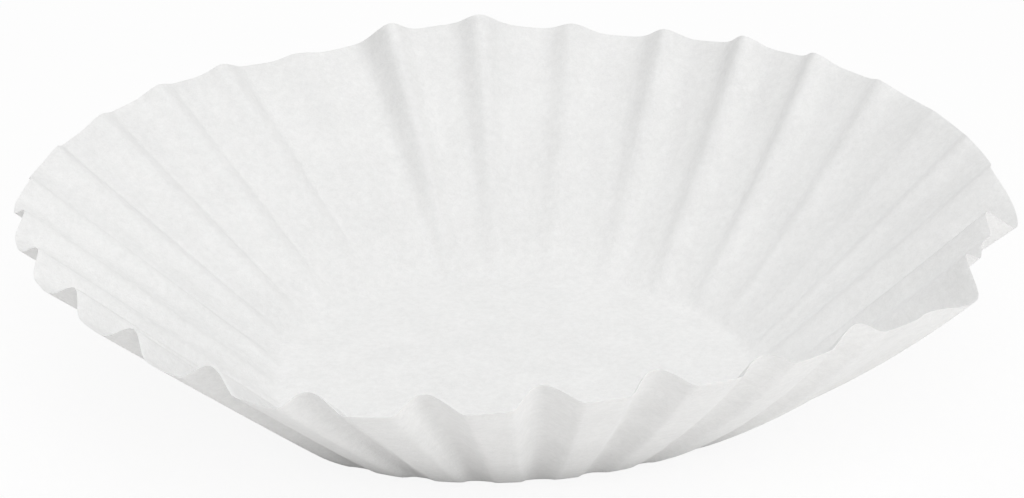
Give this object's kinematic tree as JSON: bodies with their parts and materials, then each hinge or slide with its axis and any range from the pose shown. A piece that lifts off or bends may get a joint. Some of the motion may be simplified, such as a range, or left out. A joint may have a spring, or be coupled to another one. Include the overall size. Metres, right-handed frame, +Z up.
{
  "type": "paper coffee filter",
  "caption": "Flat-bottomed basket coffee filter of white creped paper, with a fluted wall that flares out to a wavy rim; holds ground coffee in a brew basket.",
  "frame": {"origin": "centre of the flat floor, on its underside, where the filter rests", "axes": "+Z up out of the open bowl; the picture looks along +Y from the front, with +X to the right"},
  "size_m": [0.2195, 0.217, 0.0501],
  "materials": {
    "paper": "matte creped white paper"
  },
  "bodies": {
    "root": {"coffee_filter": "paper"}
  },
  "joints": []
}
